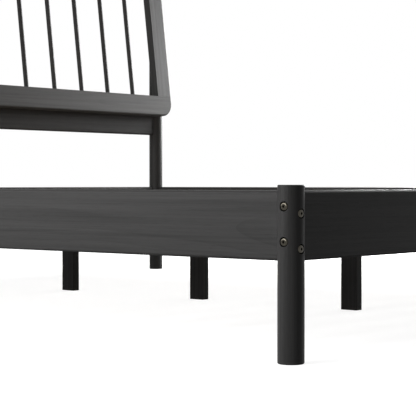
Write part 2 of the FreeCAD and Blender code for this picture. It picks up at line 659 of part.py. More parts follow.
def support_leg(label, place_y):
    body = new_body(label)
    section = sketch_on(body, "section", "XY_Plane")
    add_rounded_rectangle(section, "0", "0", "Sizes.support_leg_thickness",
                          "Sizes.support_leg_width", "Sizes.support_leg_round")
    pad(body, "pad", section, "Layout.beam_bottom")
    round_edges(body, "foot_round", "Sizes.support_leg_round",
                lambda edge: edge.BoundBox.ZMax < NEAR)
    stud = sketch_on(body, "stud", "XY_Plane", "Layout.beam_bottom")
    add_circle(stud, "0", "0", "Layout.thread_hole")
    pocket(body, "stud_cut", stud, "Sizes.stud_length / 2 + Sizes.bolt_end_room")
    place(body, y=f"Layout.middle_y + {place_y}")
    return body


def beam_hanger(label, end):
    """Folded steel hanger: a back plate on the rail's inner face and a cradle for the beam's end."""
    body = new_body(label)
    plate = sketch_on(body, "plate", "XZ_Plane")
    low, high = "-Sizes.hanger_plate", "Sizes.beam_height"
    add_outline(plate, [("-Layout.hanger_half", low), ("Layout.hanger_half", low),
                        ("Layout.hanger_half", high), ("-Layout.hanger_half", high)])
    pad(body, "plate_pad", plate, "Sizes.hanger_plate", forward=False)
    cradle = sketch_on(body, "cradle", "XZ_Plane")
    inner, outer = "Layout.cradle_half", "(Layout.cradle_half + Sizes.hanger_plate)"
    wall = "Sizes.hanger_wall"
    add_outline(cradle, [(f"-{outer}", low), (outer, low), (outer, wall), (inner, wall),
                         (inner, "0"), (f"-{inner}", "0"), (f"-{inner}", wall), (f"-{outer}", wall)])
    pad(body, "cradle_pad", cradle, "Sizes.hanger_plate + Sizes.hanger_depth", forward=False)
    screws = sketch_on(body, "screws", "XZ_Plane", "-Sizes.hanger_plate")
    for side in (LEFT, RIGHT):
        for up in ("Sizes.hanger_hole_low", "Sizes.hanger_hole_high"):
            add_circle(screws, f"{side} * Layout.hanger_hole_x", up, "Layout.screw_hole")
    pocket(body, "screws_cut", screws, "Sizes.hanger_plate", forward=True)
    place(body, y=f"Layout.middle_y + {end} * Layout.inner_half_y", z="Layout.beam_bottom",
          angle="0" if end == FOOT else "180")
    return body


# ---------------------------------------------------------------- headboard frame
# These pieces are drawn in the frame's own coordinates: X across the bed, Y through the frame's
# thickness from its front face, Z up its slope from its lower edge.


def is_face_edge(edge, thickness):
    """True for an edge that lies in the front or back face of a frame piece."""
    box = edge.BoundBox
    return box.YMax < NEAR or box.YMin > thickness - NEAR


def headboard_rail(label, end):
    """Bottom rail (end FOOT) or top rail (end HEAD), with rounded outer corners and spindle holes."""
    body = new_body(label)
    outer = "0" if end == FOOT else "Layout.frame_length"
    inner = "Sizes.frame_width" if end == FOOT else "Layout.frame_length - Sizes.frame_width"
    half = "Layout.frame_outer_width / 2"
    face = sketch_on(body, "face", "XZ_Plane")
    add_outline(face, [(f"-{half}", outer), (half, outer), (half, inner), (f"-{half}", inner)])
    pad(body, "pad", face, "Sizes.frame_thickness", forward=False)
    thickness = number("Sizes.frame_thickness")
    outer_z = number(outer)
    inner_z = number(inner)

    def is_corner(edge):
        box = edge.BoundBox
        return box.YLength > thickness - NEAR and abs(box.Center.z - outer_z) < NEAR

    def is_inner(edge):
        box = edge.BoundBox
        return is_face_edge(edge, thickness) and abs(box.Center.z - inner_z) + box.ZLength < NEAR

    def is_outer(edge):
        return is_face_edge(edge, thickness) and not is_inner(edge)

    round_edges(body, "corners", "Sizes.frame_corner", is_corner)
    round_edges(body, "outer_round", "Sizes.frame_round", is_outer)
    round_edges(body, "inner_break", "Sizes.frame_break", is_inner)
    spindles = sketch_on(body, "spindles", "XY_Plane", inner)
    for x in spindle_places():
        add_circle(spindles, x, "Sizes.frame_thickness / 2",
                   "Sizes.spindle_diameter + 2 * Sizes.fit_gap")
    pocket(body, "spindles_cut", spindles, "Sizes.spindle_seat", forward=end == HEAD)
    dowels = sketch_on(body, "dowels", "XY_Plane", inner)
    for side in (LEFT, RIGHT):
        add_dowel_circles(dowels, side)
    pocket(body, "dowels_cut", dowels, "Sizes.dowel_length / 2 + Sizes.dowel_end_room",
           forward=end == HEAD)
    place_in_frame(body, "0", "0", "0")
    return body


def dowel_x(side):
    return [f"{side} * Layout.stile_x + {hand} * Sizes.dowel_spacing / 2" for hand in (-1, 1)]


def add_dowel_circles(sketch, side):
    for x in dowel_x(side):
        add_circle(sketch, x, "Sizes.frame_thickness / 2", "Sizes.dowel_diameter + 2 * Sizes.fit_gap")


def stile(label, side):
    """Upright of the frame, between its bottom and top rails."""
    body = new_body(label)
    section = sketch_on(body, "section", "XY_Plane", "Sizes.frame_width")
    outer, inner = (f"{side} * (Layout.stile_x + {hand} * Sizes.frame_width / 2)" for hand in (1, -1))
    add_outline(section, [(outer, "0"), (outer, "Sizes.frame_thickness"),
                          (inner, "Sizes.frame_thickness"), (inner, "0")])
    pad(body, "pad", section, "Layout.stile_length")
    thickness = number("Sizes.frame_thickness")

    def is_upright_at(edge, x):
        box = edge.BoundBox
        return is_face_edge(edge, thickness) and abs(box.Center.x - x) + box.XLength < NEAR

    def is_end(edge):
        return edge.BoundBox.ZLength < NEAR

    outer_x, inner_x = number(outer), number(inner)
    round_edges(body, "outer_round", "Sizes.frame_round", lambda edge: is_upright_at(edge, outer_x))
    round_edges(body, "inner_break", "Sizes.frame_break",
                lambda edge: is_upright_at(edge, inner_x) or is_end(edge))
    dowel_depth = "Sizes.dowel_length / 2 + Sizes.dowel_end_room"
    low = sketch_on(body, "low_dowels", "XY_Plane", "Sizes.frame_width")
    add_dowel_circles(low, side)
    pocket(body, "low_dowels_cut", low, dowel_depth, forward=True)
    high = sketch_on(body, "high_dowels", "XY_Plane", "Sizes.frame_width + Layout.stile_length")
    add_dowel_circles(high, side)
    pocket(body, "high_dowels_cut", high, dowel_depth)
    inserts = sketch_on(body, "inserts", "XZ_Plane", "-Sizes.frame_thickness")
    tips = sketch_on(body, "bolt_tips", "XZ_Plane", "-Sizes.frame_thickness")
    for up in ("Sizes.frame_bolt_low", "Sizes.frame_bolt_high"):
        add_circle(inserts, f"{side} * Layout.post_x", up, "Sizes.insert_diameter + 2 * Sizes.fit_gap")
        add_circle(tips, f"{side} * Layout.post_x", up, "Layout.bolt_hole")
    pocket(body, "inserts_cut", inserts, "Sizes.insert_length", forward=True)
    pocket(body, "bolt_tips_cut", tips, "Layout.frame_bolt_depth", forward=True)
    place_in_frame(body, "0", "0", "0")
    return body


def spindle_places():
    """Places of the spindles across the bed, with equal openings between them and the stiles."""
    spindles = count("Sizes.spindle_count")
    return [f"({index} - (Sizes.spindle_count - 1) / 2) * Layout.spindle_pitch"
            for index in range(spindles)]


def spindle(label, x):
    """Straight round spindle that stands on the floor of its lower hole."""
    body = new_body(label)
    radius = "Sizes.spindle_diameter / 2"
    turn_rod(body, radius, "Layout.spindle_length", "Sizes.spindle_chamfer")
    place_in_frame(body, x, "Sizes.frame_thickness / 2", "Sizes.frame_width - Sizes.spindle_seat",
                   "90 - Sizes.recline")
    return body


# ---------------------------------------------------------------- turned pieces and fasteners
# Each is drawn along its own +Y. Heads lie at Y below 0, and their seats at Y = 0.


def turn_rod(body, radius, length, chamfer):
    """Round rod from Y = 0, chamfered at both ends."""
    turn_profile(body, [("0", "0"), (f"{radius} - {chamfer}", "0"), (radius, chamfer),
                        (radius, f"{length} - {chamfer}"), (f"{radius} - {chamfer}", length),
                        ("0", length)])


def cut_socket(body, width, depth, face):
    """Hexagon socket in a head whose face is that far below the seat."""
    socket = sketch_on(body, "socket", "XZ_Plane", face)
    add_hexagon(socket, width)
    pocket(body, "socket_cut", socket, depth)


def domed_fastener(label, length, head, head_height, dome, shank, tip):
    """Fastener with a domed head: radius and height of the head, radius of the shank, end chamfer."""
    body = new_body(label, is_sub_part=False)
    turn_profile(body, [("0", f"-{head_height}"), (head, f"-{head_height}"), (head, "0"), (shank, "0"),
                        (shank, f"{length} - {tip}"), (f"{shank} - {tip}", length), ("0", length)])
    face = number(f"-{head_height}")
    round_edges(body, "dome", f"min({dome}; {head_height} - Sizes.head_rim)",
                lambda edge: edge.BoundBox.YMax < face + NEAR)
    return body


def bolt(label, length):
    """Bolt with a domed head and a hexagon socket."""
    body = domed_fastener(label, length, "Sizes.bolt_head_diameter / 2", "Sizes.bolt_head_height",
                          "Sizes.bolt_head_round", "Sizes.bolt_diameter / 2", "Sizes.turned_chamfer")
    cut_socket(body, "Sizes.bolt_socket_width", "Sizes.bolt_socket_depth", "Sizes.bolt_head_height")
    return body


def pan_screw(label, length):
    """Wood screw with a pan head that stands on the steel that it holds."""
    body = domed_fastener(label, length, "Sizes.screw_head_diameter / 2", "Sizes.pan_head_height",
                          "Sizes.pan_head_round", "Sizes.screw_diameter / 2", "Sizes.turned_chamfer")
    cut_socket(body, "Sizes.screw_socket_width", "Sizes.screw_socket_depth", "Sizes.pan_head_height")
    return body


def wood_screw(label, length):
    """Countersunk wood screw; its head's face lies at Y = 0."""
    body = new_body(label, is_sub_part=False)
    head, shank = "Sizes.screw_head_diameter / 2", "Sizes.screw_diameter / 2"
    turn_profile(body, [("0", "0"), (head, "0"), (shank, f"{head} - {shank}"),
                        (shank, f"{length} - Sizes.screw_tip"), ("0", length)])
    cut_socket(body, "Sizes.screw_socket_width", "Sizes.screw_socket_depth", "0")
    return body


def barrel_nut(label):
    """Cross dowel nut, threaded across its middle along X."""
    body = new_body(label, is_sub_part=False)
    radius, end = "Sizes.nut_diameter / 2", "Sizes.nut_length / 2"
    turn_profile(body, [("0", f"-{end}"), (radius, f"-{end}"), (radius, end), ("0", end)])
    thread = sketch_on(body, "thread", "YZ_Plane")
    add_circle(thread, "0", "0", "Layout.thread_hole")
    pocket(body, "thread_cut", thread, "2 * Sizes.nut_diameter", symmetric=True)
    return body


def insert(label):
    """Threaded insert, open at both ends."""
    body = new_body(label, is_sub_part=False)
    inner, outer = "Layout.thread_hole / 2", "Sizes.insert_diameter / 2"
    length = "Sizes.insert_length"
    turn_profile(body, [(inner, "0"), (outer, "0"), (outer, length), (inner, length)])
    return body


def rod(label, radius, length):
    body = new_body(label, is_sub_part=False)
    turn_rod(body, radius, length, "Sizes.turned_chamfer")
    return body


def rail_joints():
    """Every rail bolt: its rail's kind, side, end, height, and its turn about Z."""
    joints = []
    for side in (LEFT, RIGHT):
        for end in (FOOT, HEAD):
            joints += [("end", side, end, z, f"{90 * side}") for z in end_bolt_heights()]
            joints += [("side", side, end, z, "0" if end == FOOT else "180")
                       for z in side_bolt_heights()]
        joints += [("cross", side, HEAD, z, f"{90 * side}") for z in cross_bolt_heights()]
    return joints


def place_on_bolt_line(item, joint, inward, angle):
    """Places a piece on a rail bolt's line, a distance from the post's centre towards the rail."""
    kind, side, end, z, _ = joint
    post_x, post_y = f"{side} * Layout.post_x", end_line(end)
    if kind == "side":
        place(item, f"{post_x} + {side} * Sizes.bolt_outset", f"{post_y} - {end} * ({inward})", z,
              angle=angle)
    elif kind == "end":
        place(item, f"{post_x} - {side} * ({inward})", f"{post_y} + {end} * Sizes.bolt_outset", z,
              angle=angle)
    else:
        place(item, f"{post_x} - {side} * ({inward})", f"{post_y} + Sizes.cross_rail_outset", z,
              angle=angle)


def rail_bolts():
    pattern = bolt("rail_bolt_pattern", "Sizes.bolt_length")
    placings = [lambda item, joint=joint: place_on_bolt_line(item, joint, "-Sizes.bolt_seat", joint[4])
                for joint in rail_joints()]
    group("rail_bolts", pattern, placings)


def barrel_nuts():
    pattern = barrel_nut("barrel_nut_pattern")

    def nut_turn(joint):
        return "90" if joint[0] == "side" else "0"

    placings = [lambda item, joint=joint: place_on_bolt_line(item, joint, "Layout.nut_reach",
                                                            nut_turn(joint))
                for joint in rail_joints()]
    group("barrel_nuts", pattern, placings)


def frame_bolt_places():
    return [(side, up) for side in (LEFT, RIGHT)
            for up in ("Sizes.frame_bolt_low", "Sizes.frame_bolt_high")]


def headboard_bolts():
    """Bolts through the head legs into the stiles, square to the frame."""
    pattern = bolt("headboard_bolt_pattern", "Sizes.frame_bolt_length")
    placings = [lambda item, side=side, up=up: place_in_frame(
        item, f"{side} * Layout.post_x", "Layout.frame_bolt_seat", up, "180 - Sizes.recline")
        for side, up in frame_bolt_places()]
    group("headboard_bolts", pattern, placings)


def headboard_inserts():
    pattern = insert("headboard_insert_pattern")
    placings = [lambda item, side=side, up=up: place_in_frame(
        item, f"{side} * Layout.post_x", "Sizes.frame_thickness", up, "180 - Sizes.recline")
        for side, up in frame_bolt_places()]
    group("headboard_inserts", pattern, placings)


def frame_dowels():
    """Two dowels in each corner of the frame, half in the rail and half in the stile."""
    pattern = rod("frame_dowel_pattern", "Sizes.dowel_diameter / 2", "Sizes.dowel_length")
    seams = ("Sizes.frame_width", "Sizes.frame_width + Layout.stile_length")
    placings = [lambda item, x=x, seam=seam: place_in_frame(
        item, x, "Sizes.frame_thickness / 2", f"{seam} - Sizes.dowel_length / 2", "90 - Sizes.recline")
        for side in (LEFT, RIGHT) for x in dowel_x(side) for seam in seams]
    group("frame_dowels", pattern, placings)


def deck_screws():
    """Screws of the slats, from above, and of the ledgers, from the inside."""
    pattern = wood_screw("deck_screw_pattern", "Sizes.screw_length")
    down = [lambda item, side=side, y=y: place(
        item, f"{side} * Layout.ledger_x", f"Layout.middle_y + {y}", "Layout.deck_z", (1, 0, 0), "-90")
        for side in (LEFT, RIGHT) for y in slat_places()]
    group("slat_screws", pattern, down)
    inner_face = "(Layout.ledger_x - Sizes.ledger_width / 2)"
    sideways = [lambda item, side=side, y=y: place(
        item, f"{side} * {inner_face}", f"Layout.middle_y + {y}",
        "Layout.ledger_top - Sizes.ledger_height / 2", angle=f"{-90 * side}")
        for side in (LEFT, RIGHT) for y in ledger_screw_places()]
    group("ledger_screws", pattern, sideways)


def hanger_screws():
    pattern = pan_screw("hanger_screw_pattern", "Sizes.hanger_screw_length")
    placings = [lambda item, end=end, side=side, up=up: place(
        item, f"{side} * Layout.hanger_hole_x",
        f"Layout.middle_y + {end} * (Layout.inner_half_y - Sizes.hanger_plate)",
        f"Layout.beam_bottom + {up}", angle="180" if end == FOOT else "0")
        for end in (FOOT, HEAD) for side in (LEFT, RIGHT)
        for up in ("Sizes.hanger_hole_low", "Sizes.hanger_hole_high")]
    group("hanger_screws", pattern, placings)


def leg_studs():
    """Studs half in a support leg and half in the beam."""
    pattern = rod("leg_stud_pattern", "Sizes.bolt_diameter / 2", "Sizes.stud_length")
    placings = [lambda item, y=y: place(
        item, "0", f"Layout.middle_y + {y}", "Layout.beam_bottom - Sizes.stud_length / 2",
        (1, 0, 0), "90")
        for _, y in support_leg_places()]
    group("leg_studs", pattern, placings)


# ---------------------------------------------------------------- the bed


def build():
    fill_sheets()
    post("foot_post_left", LEFT, FOOT, "Sizes.foot_post_height")
    post("foot_post_right", RIGHT, FOOT, "Sizes.foot_post_height")
    head_leg("head_leg_left", LEFT)
    head_leg("head_leg_right", RIGHT)
    side_rail("side_rail_left", LEFT)
    side_rail("side_rail_right", RIGHT)
    end_rail("foot_rail", FOOT)
    end_rail("head_rail", HEAD)
    cross_rail("headboard_cross_rail")
    ledger("slat_ledger_left", LEFT)
    ledger("slat_ledger_right", RIGHT)
    for index, place_y in enumerate(slat_places(), start=1):
        slat(f"slat_{index:02d}", place_y)
    centre_beam("centre_beam")
    for name, place_y in support_leg_places():
        support_leg(f"support_leg_{name}", place_y)
    beam_hanger("beam_hanger_foot", FOOT)
    beam_hanger("beam_hanger_head", HEAD)
    headboard_rail("headboard_bottom_rail", FOOT)
    headboard_rail("headboard_top_rail", HEAD)
    stile("headboard_stile_left", LEFT)
    stile("headboard_stile_right", RIGHT)
    for index, x in enumerate(spindle_places(), start=1):
        spindle(f"spindle_{index:02d}", x)
    rail_bolts()
    barrel_nuts()
    headboard_bolts()
    headboard_inserts()
    frame_dowels()
    deck_screws()
    hanger_screws()
    leg_studs()
    doc.recompute()


def check():
    """Stops the build if any object failed or a sub-part has no valid shape."""
    for item in doc.Objects:
        if "Invalid" in item.State or "Error" in item.State:
            raise RuntimeError(f"{item.Name} failed: {item.State}")
    for item in sub_parts:
        if item.Shape.isNull() or not item.Shape.isValid():
            raise RuntimeError(f"{item.Label} has no valid shape")


def export():
    os.makedirs("parts", exist_ok=True)
    for item in sub_parts:
        item.Shape.exportStep(os.path.join("parts", item.Label + ".step"))
        solids = len(item.Shape.Solids)
        print(f"{item.Label}: {solids} solid(s), {item.Shape.Volume / 1000:.1f} cm3")


build()
check()
export()
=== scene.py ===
import math
import random

import bpy
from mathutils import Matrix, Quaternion, Vector


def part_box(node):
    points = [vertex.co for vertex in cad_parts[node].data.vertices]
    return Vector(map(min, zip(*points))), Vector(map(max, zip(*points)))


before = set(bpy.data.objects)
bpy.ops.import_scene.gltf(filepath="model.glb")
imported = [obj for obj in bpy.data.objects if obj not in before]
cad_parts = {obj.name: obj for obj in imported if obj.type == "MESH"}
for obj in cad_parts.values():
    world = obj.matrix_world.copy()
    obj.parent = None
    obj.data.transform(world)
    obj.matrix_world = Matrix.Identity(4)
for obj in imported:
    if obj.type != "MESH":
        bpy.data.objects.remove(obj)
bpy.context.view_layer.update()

# Looks of the spindle bed. Lengths are in metres, in the frame's own axes: +X to the right for someone
# at the foot, +Y towards the head, +Z up. The camera and the far lamps are turned from +Y towards +X.
# Colours are linear.

rng = random.Random(7)

# ---------------------------------------------------------------- driving values

RECLINE = math.radians(7.1)  # lean of the headboard frame

STAIN_DARK = (0.018, 0.0177, 0.0176)
STAIN_LIGHT = (0.041, 0.0403, 0.0401)
STAIN_TONES = (0.92, 1.08)  # brightness of single boards over these colours
SLAT_DARK = (0.50, 0.36, 0.22)
SLAT_LIGHT = (0.68, 0.54, 0.38)
SLAT_TONES = (0.92, 1.05)
DOWEL_DARK = (0.52, 0.36, 0.21)
DOWEL_LIGHT = (0.68, 0.52, 0.34)
BOLT_BRIGHT = (0.06, 0.055, 0.045)
BOLT_DULL = (0.033, 0.03, 0.024)
ZINC_BRIGHT = (0.62, 0.63, 0.64)
ZINC_DULL = (0.50, 0.51, 0.54)
COAT_DARK = (0.02, 0.02, 0.021)
COAT_CREST_HIGHLIGHT = 1.5  # painted highlight: brightness of the coat's crests over that colour, the dimples left darker as painted shade

# The growth rings: how far their radius drifts for each metre of the board, bends and wavers.
RING_DRIFT = 0.008
RING_BEND = 0.06
RING_WAVER = 0.003
LATE_WOOD_POWER = 3.0  # a higher power leaves less of each ring dark
FAINTEST_RING = 0.1

# The pith that the rings go round, and where a board begins in the grain.
PITH_AWAY = (0.8, 1.3)  # over the pith's usual distance from the board
PITH_ASIDE = 0.03
GRAIN_RUN = 9

# What each part of the grain adds to the wood's tone.
RING_TONE = -0.3
FIBRE_TONE = 0.5
PORE_TONE = -0.3

EDGE_WEAR_AND_HIGHLIGHT_GAIN = 1.8  # edges lightened over light wood: rubbed stain and a painted highlight on the arrises
EDGE_WIDTH = 0.0015
SWELL = 8  # height of the surface's slow swell over the grain's relief
UNDERSIDE_ROUGHNESS = 0.5  # added on faces that look down

METAL_RELIEF = 0.00001
METAL_PATCHES = 0.12  # dull patches for each grain of the polish along a line
COAT_DIMPLES = 1400.0  # to the metre
COAT_RELIEF = 0.00003

CAMERA_PLACE = Vector((-3.05446, -2.59421, 0.33278))
CAMERA_TURN = math.radians(50.139)
CAMERA_DIP = math.radians(0.992)
CAMERA_LENS = 119.9  # millimetres, on a sensor 36 mm wide
CAMERA_REACH = 200

FLOOR_REACH = 60
FLOOR_BOUNCE = 0.25  # grey of the floor for the light that it throws back on the bed
FLOOR_SHADED = 0.35  # grey that takes the lamps' light and the shadow where the floor is seen
FLOOR_GLOW = (0.86, 1.0)  # the floor's own white, near the bed and far from it
FLOOR_GLOW_SPAN = (2.0, 7.0)  # distances from the middle of the bed
ROOM_LIGHT = 0.04  # strength of the white surroundings as a light on the bed

SOFTBOX_AWAY = 4.5
BED_AIM = Vector((0, 0, 0.35))
FLOOR_AIM = Vector((0, 0, 0))
SIDE_RAIL_AIM = Vector((-1.0, 0.2, 0.25))
HEAD_LEG_AIM = Vector((1.0, 1.0, 0.4))
HEADBOARD_AIM = Vector((0.6, 1.05, 0.7))


# ---------------------------------------------------------------- node helpers


def add_node(tree, kind, inputs=(), **settings):
    """Adds a shader node; inputs maps a socket's name or number to a number, colour or other socket."""
    node = tree.nodes.new(kind)
    for name, setting in settings.items():
        setattr(node, name, setting)
    for name, given in dict(inputs).items():
        socket = node.inputs[name]
        if isinstance(given, bpy.types.NodeSocket):
            tree.links.new(given, socket)
        else:
            socket.default_value = given
    return node


def arithmetic(tree, operation, first, second=0.0, third=0.0):
    node = add_node(tree, "ShaderNodeMath", {0: first, 1: second, 2: third}, operation=operation)
    return node.outputs[0]


def rescale(tree, given, span, to_span):
    """Maps a number from one span to another, held at the ends."""
    low, high = span
    to_low, to_high = to_span
    node = add_node(tree, "ShaderNodeMapRange", {
        "Value": given, "From Min": low, "From Max": high, "To Min": to_low, "To Max": to_high})
    return node.outputs["Result"]


def noise(tree, place, scale, detail=2.0, roughness=0.5, distortion=0.0):
    """Noise with so many waves to the metre."""
    node = add_node(tree, "ShaderNodeTexNoise", {
        "Vector": place, "Scale": scale, "Detail": detail, "Roughness": roughness,
        "Distortion": distortion})
    return node.outputs["Fac"]


def grain_noise(tree, place, along, across, **settings):
    """Noise with so many waves to the metre along the grain, which is X, and across it."""
    stretched = add_node(tree, "ShaderNodeVectorMath", {0: place, 1: (along, across, across)},
                         operation="MULTIPLY")
    return noise(tree, stretched.outputs["Vector"], 1.0, **settings)


def mixed(tree, factor, first, second):
    """Colour between the first, at factor 0, and the second, at 1."""
    node = add_node(tree, "ShaderNodeMix", {0: factor, 6: first, 7: second}, data_type="RGBA")
    return node.outputs[2]


def add_bump(tree, height, distance, **inputs):
    node = add_node(tree, "ShaderNodeBump", {
        "Height": height, "Strength": 1.0, "Distance": distance, **inputs})
    return node.outputs["Normal"]


def object_place(tree):
    return add_node(tree, "ShaderNodeTexCoord").outputs["Object"]


def new_material(name):
    """Material with an empty Principled shader; returns the material, its tree and the shader."""
    material = bpy.data.materials.new(name)
    material.use_nodes = True
    tree = material.node_tree
    return material, tree, tree.nodes["Principled BSDF"]


def brightened(colour, factor):
    return [channel * factor for channel in colour]


def opaque(colour):
    return (*colour, 1)


def grey(level):
    return (level, level, level, 1)


def dress(node, material):
    """Gives a CAD node one material all over."""
    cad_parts[node].data.materials[0] = material


# ---------------------------------------------------------------- wood


def growth_rings(tree, place, ring_width):
    """Rises slowly across each growth ring, from its pale early wood at 0 to its dark late wood at 1."""
    bend = grain_noise(tree, place, along=0.8, across=2.5)
    waver = grain_noise(tree, place, along=2.6, across=14.0)
    split = add_node(tree, "ShaderNodeSeparateXYZ", {0: place})
    across_squared = arithmetic(tree, "MULTIPLY", split.outputs["Y"], split.outputs["Y"])
    radius_squared = arithmetic(tree, "MULTIPLY_ADD", split.outputs["Z"], split.outputs["Z"],
                                across_squared)
    radius = arithmetic(tree, "SQRT", radius_squared)
    radius = arithmetic(tree, "MULTIPLY_ADD", split.outputs["X"], RING_DRIFT, radius)
    radius = arithmetic(tree, "MULTIPLY_ADD", bend, RING_BEND, radius)
    radius = arithmetic(tree, "MULTIPLY_ADD", waver, RING_WAVER, radius)
    rings = arithmetic(tree, "DIVIDE", radius, ring_width)
    late = arithmetic(tree, "POWER", arithmetic(tree, "FRACT", rings), LATE_WOOD_POWER)
    plain = grain_noise(tree, place, along=1.3, across=9.0)
    return arithmetic(tree, "MULTIPLY", late, rescale(tree, plain, (0.42, 0.62), (FAINTEST_RING, 1.0)))


def grain_group():
    """Node group with the grain of a board that lies along X.

    Ring rises slowly across each growth ring to its dark late wood, Streak is a long soft change of
    tone, Fibre a fine one, Pore is 1 in the open pores, and Figure is a slow swell of the surface.
    """
    tree = bpy.data.node_groups.new("board_grain", "ShaderNodeTree")
    tree.interface.new_socket("Place", in_out="INPUT", socket_type="NodeSocketVector")
    tree.interface.new_socket("Ring Width", in_out="INPUT", socket_type="NodeSocketFloat")
    given = tree.nodes.new("NodeGroupInput")
    place = given.outputs["Place"]
    pore = grain_noise(tree, place, along=38.0, across=1500.0, detail=1.0)
    parts = {
        "Ring": growth_rings(tree, place, given.outputs["Ring Width"]),
        "Streak": grain_noise(tree, place, along=1.1, across=90.0, detail=5.0, roughness=0.62),
        "Fibre": grain_noise(tree, place, along=8.0, across=560.0, detail=3.0, roughness=0.6),
        "Pore": rescale(tree, pore, (0.6, 0.68), (0.0, 1.0)),
        "Figure": grain_noise(tree, place, along=9.0, across=5.0, distortion=1.5),
    }
    for name in parts:
        tree.interface.new_socket(name, in_out="OUTPUT", socket_type="NodeSocketFloat")
    result = tree.nodes.new("NodeGroupOutput")
    for name, socket in parts.items():
        tree.links.new(socket, result.inputs[name])
    return tree


BOARD_GRAIN = grain_group()

# Turns of a board that bring its grain along X.
ALONG_X = Quaternion()
ALONG_Y = Vector((0, 1, 0)).rotation_difference(Vector((1, 0, 0)))
ALONG_Z = Vector((0, 0, 1)).rotation_difference(Vector((1, 0, 0)))
UP_THE_SLOPE = Vector((0, math.sin(RECLINE), math.cos(RECLINE))).rotation_difference(Vector((1, 0, 0)))


def edge_mask(tree, width):
    """1 where the surface turns within that width, as on an arris, and 0 on a flat."""
    soft = add_node(tree, "ShaderNodeBevel", {"Radius": width}, samples=4)
    sharp = add_node(tree, "ShaderNodeNewGeometry")
    match = add_node(tree, "ShaderNodeVectorMath",
                     {0: soft.outputs["Normal"], 1: sharp.outputs["Normal"]}, operation="DOT_PRODUCT")
    return rescale(tree, match.outputs["Value"], (0.995, 0.9), (0.0, 1.0))


def board_place(tree, node, turn, pith, flat_side):
    """Places on one board, turned to have its grain along X, with its pith on the X axis."""
    low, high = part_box(node)
    middle = turn @ ((low + high) / 2)
    beside = rng.uniform(-PITH_ASIDE, PITH_ASIDE)
    away = pith * rng.uniform(*PITH_AWAY)
    along = rng.uniform(-GRAIN_RUN, GRAIN_RUN)
    if flat_side == "Y":
        shift = Vector((along, away - middle.y, beside - middle.z))
    else:
        shift = Vector((along, beside - middle.y, away - middle.z))
    turned = add_node(tree, "ShaderNodeMapping", {
        "Vector": object_place(tree), "Location": shift, "Rotation": turn.to_euler()})
    return turned.outputs[0]


def wood_colour(tree, grain, dark, light, edge_wear_and_highlight):
    """Colour from dark to light: streaks and fibres lighten it, rings and pores darken it."""
    tone = rescale(tree, grain["Streak"], (0.3, 0.7), (0.1, 1.0))
    tone = arithmetic(tree, "MULTIPLY_ADD", grain["Ring"], RING_TONE, tone)
    tone = arithmetic(tree, "MULTIPLY_ADD", grain["Fibre"], FIBRE_TONE, tone)
    tone = arithmetic(tree, "MULTIPLY_ADD", grain["Pore"], PORE_TONE, tone)
    tone = rescale(tree, tone, (0.1, 1.3), (0.0, 1.0))
    colour = mixed(tree, tone, opaque(dark), opaque(light))
    # Edges lighter: partly stain rubbed off, partly a painted highlight where the arrises catch the
    # light.
    if edge_wear_and_highlight:
        patchy = rescale(tree, grain["Fibre"], (0.4, 0.6), (0.0, edge_wear_and_highlight))
        worn_and_lit_edge = arithmetic(tree, "MULTIPLY", edge_mask(tree, EDGE_WIDTH), patchy)
        colour = mixed(tree, worn_and_lit_edge, colour, opaque(brightened(light, EDGE_WEAR_AND_HIGHLIGHT_GAIN)))
    return colour


def wood_roughness(tree, grain, span):
    """Roughness over its span from fibre to pore, and more on undersides."""
    open_grain = arithmetic(tree, "MULTIPLY_ADD", grain["Pore"], 0.5, grain["Fibre"])
    roughness = rescale(tree, open_grain, (0.3, 1.0), span)
    normal = add_node(tree, "ShaderNodeTexCoord").outputs["Normal"]
    upward = add_node(tree, "ShaderNodeSeparateXYZ", {0: normal}).outputs["Z"]
    below = rescale(tree, upward, (-0.2, -0.7), (0.0, UNDERSIDE_ROUGHNESS))
    return arithmetic(tree, "ADD", roughness, below)


def wood_relief(tree, grain, depth):
    """Normal of a surface with raised fibres, sunk pores and a slow swell."""
    height = arithmetic(tree, "MULTIPLY_ADD", grain["Pore"], -1.0, grain["Fibre"])
    relief = add_bump(tree, height, depth)
    return add_bump(tree, grain["Figure"], depth * SWELL, Normal=relief)


def dress_board(name, node, turn, dark, light, *, ring_width, roughness, depth, specular, pith=0.075,
                flat_side="Y", edge_wear_and_highlight=0.0):
    """Dresses one board in wood, its grain along the board and its rings round a pith beside it.

    dark and light are the colours of late and early wood, roughness its span from fibre to pore,
    depth the height of the grain's relief. The pith lies beyond the board's flat side, which faces Y
    or Z once the grain is turned along X. The wear-and-highlight argument lightens the edges: partly
    rubbed stain, partly a painted highlight on the arrises.
    """
    material, tree, shader = new_material(name)
    group = add_node(tree, "ShaderNodeGroup", node_tree=BOARD_GRAIN)
    tree.links.new(board_place(tree, node, turn, pith, flat_side), group.inputs["Place"])
    group.inputs["Ring Width"].default_value = ring_width
    grain = group.outputs
    tree.links.new(wood_colour(tree, grain, dark, light, edge_wear_and_highlight), shader.inputs["Base Color"])
    tree.links.new(wood_roughness(tree, grain, roughness), shader.inputs["Roughness"])
    tree.links.new(wood_relief(tree, grain, depth), shader.inputs["Normal"])
    shader.inputs["Specular IOR Level"].default_value = specular
    dress(node, material)


def stained(node, turn, specular=0.068, shade=1.0):
    """Dresses a board in dark stain, its edges paled by wear and a painted highlight; shade scales its
    colours as painted light and shade.
    """
    # shade below 1 darkens the part as painted shade, above 1 lightens it as painted light; the random
    # board tone multiplies it.
    shade *= rng.uniform(*STAIN_TONES)
    dark = brightened(STAIN_DARK, shade)
    light = brightened(STAIN_LIGHT, shade)
    dress_board("stained_wood_" + node, node, turn, dark, light, ring_width=0.0065,
                roughness=(0.38, 0.5), depth=0.000014, specular=specular, edge_wear_and_highlight=0.25)


def plain_slat(node):
    shade = rng.uniform(*SLAT_TONES)
    dark = brightened(SLAT_DARK, shade)
    light = brightened(SLAT_LIGHT, shade)
    dress_board("slat_wood_" + node, node, ALONG_X, dark, light, ring_width=0.005,
                roughness=(0.45, 0.62), depth=0.00003, specular=0.45, pith=0.05, flat_side="Z")


